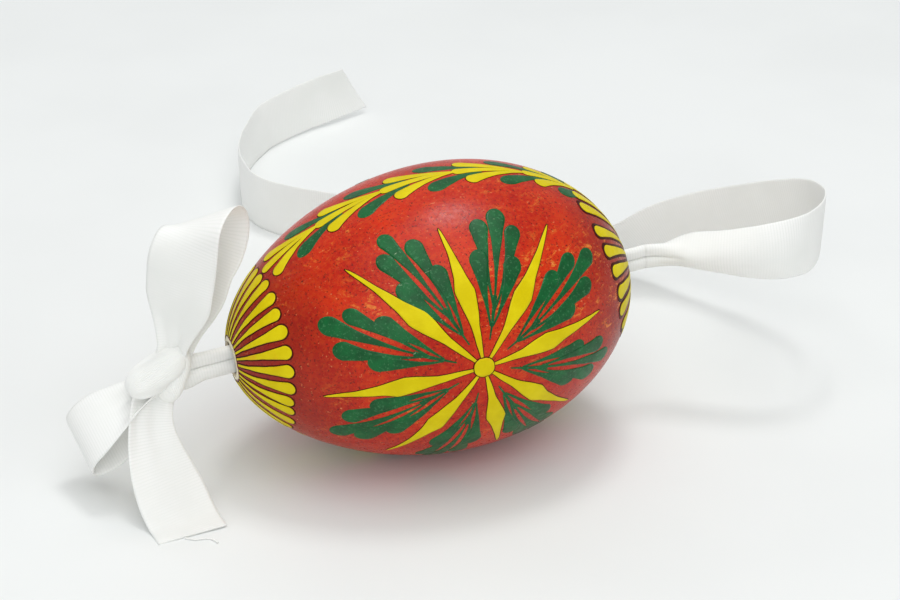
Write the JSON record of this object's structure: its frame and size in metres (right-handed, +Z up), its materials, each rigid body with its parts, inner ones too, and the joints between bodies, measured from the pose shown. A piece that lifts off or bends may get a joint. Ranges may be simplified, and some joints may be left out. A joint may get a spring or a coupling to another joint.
{
  "type": "decorated egg",
  "caption": "Blown egg with a painted folk pattern, threaded end to end on a white ribbon that is tied in a bow at one end and left as a long tail at the other.",
  "frame": {"origin": "on the surface the egg rests on, under the middle of the egg's box", "axes": "+X along the egg's long axis towards the blunt end, which is raised by 4.5 degrees; +Y towards the ribbon's long tail; +Z up"},
  "size_m": [0.1193, 0.1371, 0.0422],
  "materials": {
    "painted_shell": "satin, wax-polished dye on eggshell",
    "ribbon": "matt grosgrain"
  },
  "bodies": {
    "ribbon_ends": {"left_knot": "ribbon", "upper_loop": "ribbon", "lower_loop": "ribbon", "front_tail": "ribbon", "frayed_thread": "ribbon", "tail_gather": "ribbon", "tail_bend": "ribbon", "tail_descent": "ribbon", "tail_floor_run": "ribbon", "tail_end": "ribbon"},
    "strand": {"inner_strand": "ribbon"},
    "egg": {"egg_shell": "painted_shell"}
  },
  "joints": [
    {"name": "ribbon_twist", "type": "hinge", "parent": "ribbon_ends", "child": "strand", "pos_m": [0, 0, 0.0207], "axis": [0.9969, 0, 0.0785], "continuous": true},
    {"name": "egg_slide", "type": "slide", "parent": "strand", "child": "egg", "axis": [0.9969, 0, 0.0785], "range_m": [-0.003, 0.003]}
  ]
}
